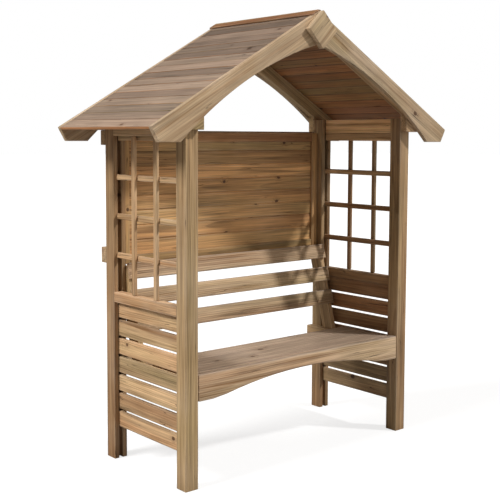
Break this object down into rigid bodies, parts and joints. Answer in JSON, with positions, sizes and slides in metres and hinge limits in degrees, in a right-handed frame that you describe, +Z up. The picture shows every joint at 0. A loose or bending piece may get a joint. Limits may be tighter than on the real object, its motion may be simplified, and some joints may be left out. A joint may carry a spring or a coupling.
{
  "type": "garden arbour",
  "caption": "Open timber garden arbour with a bench seat, leaning railed backrest, slatted and latticed sides, boarded upper back panel and pitched roof with curved bargeboards.",
  "frame": {"origin": "centre of the arbour's footprint, on the ground under the post feet", "axes": "+X along the seat to the right as seen from the open front, +Y from the open front to the back, +Z up"},
  "size_m": [1.755, 0.776, 2.0004],
  "materials": {
    "barge_timber": "rough",
    "frame_timber": "rough",
    "infill_timber": "rough",
    "panel_timber": "rough",
    "ridge_timber": "rough",
    "roof_timber": "rough",
    "seat_timber": "rough"
  },
  "bodies": {
    "root": {"post_front_left": "frame_timber", "post_front_right": "frame_timber", "post_back_left": "frame_timber", "post_back_right": "frame_timber", "slats_left": "infill_timber", "slats_right": "infill_timber", "mid_rail_left": "frame_timber", "mid_rail_right": "frame_timber", "lattice_left": "infill_timber", "lattice_right": "infill_timber", "head_rail_left": "infill_timber", "head_rail_right": "infill_timber", "wall_plate_left": "frame_timber", "wall_plate_right": "frame_timber", "back_rail_top": "frame_timber", "back_rail_low": "frame_timber", "panel_stile_left": "frame_timber", "panel_stile_right": "frame_timber", "panel_rail_top": "frame_timber", "panel_rail_low": "frame_timber", "panel_boards": "panel_timber", "seat_bearer_left": "frame_timber", "seat_bearer_right": "frame_timber", "seat_apron": "seat_timber", "seat_boards": "seat_timber", "backrest_leg_left": "frame_timber", "backrest_leg_right": "frame_timber", "backrest_rail_top": "seat_timber", "backrest_rail_middle": "seat_timber", "backrest_rail_low": "seat_timber", "rafter_front_left": "frame_timber", "rafter_front_right": "frame_timber", "rafter_back_left": "frame_timber", "rafter_back_right": "frame_timber", "bargeboard_front_left": "barge_timber", "bargeboard_front_right": "barge_timber", "bargeboard_back_left": "barge_timber", "bargeboard_back_right": "barge_timber", "apex_block_front": "barge_timber", "apex_block_back": "barge_timber", "roof_boards_left": "roof_timber", "roof_boards_right": "roof_timber", "ridge_cap_left": "ridge_timber", "ridge_cap_right": "ridge_timber"}
  },
  "joints": []
}
